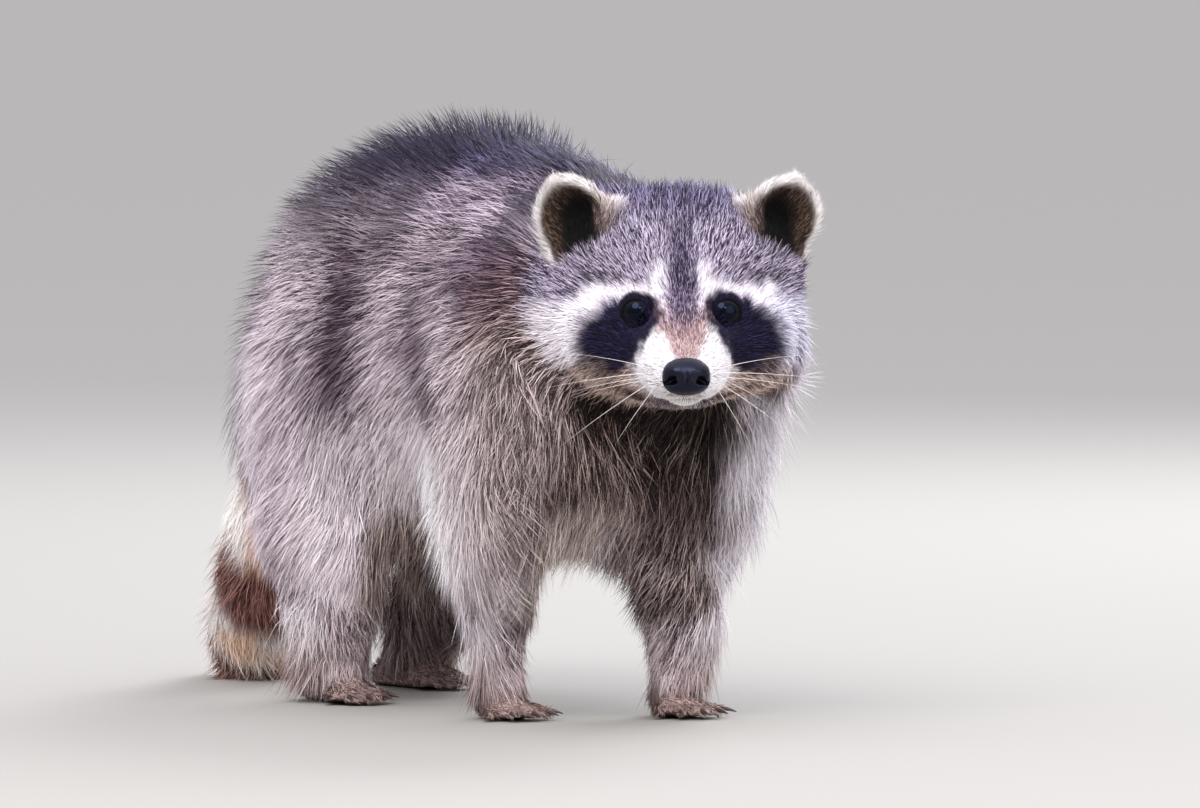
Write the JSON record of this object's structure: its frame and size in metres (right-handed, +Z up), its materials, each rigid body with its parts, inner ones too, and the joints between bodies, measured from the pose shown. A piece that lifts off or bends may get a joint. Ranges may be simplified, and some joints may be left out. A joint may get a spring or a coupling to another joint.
{
  "type": "raccoon",
  "caption": "Life-size raccoon in mid stride, head turned to its right, with long coat, masked face, ringed tail hanging to the floor, and clawed toes.",
  "frame": {"origin": "bottom centre of the box round the whole animal, on the floor under it", "axes": "+X to the animal's left, +Y from head to tail along the body, +Z up; the animal faces -Y"},
  "size_m": [0.2076, 0.641, 0.3204],
  "materials": {
    "body_fur": "grizzled long fur, dark on the back and paler low on the sides",
    "face_fur": "short fur: grey crown, pale brows and cheeks, black patches round the eyes, pale ear rims",
    "muzzle_fur": "short white fur with a tan bridge",
    "leg_fur": "grey-white hair over dark brown, thin near the feet",
    "tail_pale_fur": "long cream and orange-brown fur",
    "tail_dark_fur": "long dark maroon-brown fur",
    "eye": "wet gloss",
    "nose": "damp, fine-grained",
    "claw": "dark horn"
  },
  "bodies": {
    "root": {"chest": "body_fur", "claw_fore_left_1": "claw", "claw_fore_left_2": "claw", "claw_fore_left_3": "claw", "claw_fore_left_4": "claw", "claw_fore_left_5": "claw", "claw_fore_right_1": "claw", "claw_fore_right_2": "claw", "claw_fore_right_3": "claw", "claw_fore_right_4": "claw", "claw_fore_right_5": "claw", "claw_hind_left_1": "claw", "claw_hind_left_2": "claw", "claw_hind_left_3": "claw", "claw_hind_left_4": "claw", "claw_hind_left_5": "claw", "claw_hind_right_1": "claw", "claw_hind_right_2": "claw", "claw_hind_right_3": "claw", "claw_hind_right_4": "claw", "claw_hind_right_5": "claw", "ear_left": "face_fur", "ear_right": "face_fur", "eye_left": "eye", "eye_right": "eye", "forearm_left": "leg_fur", "forearm_right": "leg_fur", "forefoot_left": "leg_fur", "forefoot_right": "leg_fur", "head": "face_fur", "hindfoot_left": "leg_fur", "hindfoot_right": "leg_fur", "muzzle": "muzzle_fur", "neck": "body_fur", "nose": "nose", "rump": "body_fur", "shank_left": "leg_fur", "shank_right": "leg_fur", "shoulder_left": "body_fur", "shoulder_right": "body_fur", "tail_base": "tail_pale_fur", "tail_end": "tail_pale_fur", "tail_middle": "tail_dark_fur", "tail_tip": "tail_dark_fur", "thigh_left": "body_fur", "thigh_right": "body_fur", "trunk": "body_fur"}
  },
  "joints": []
}
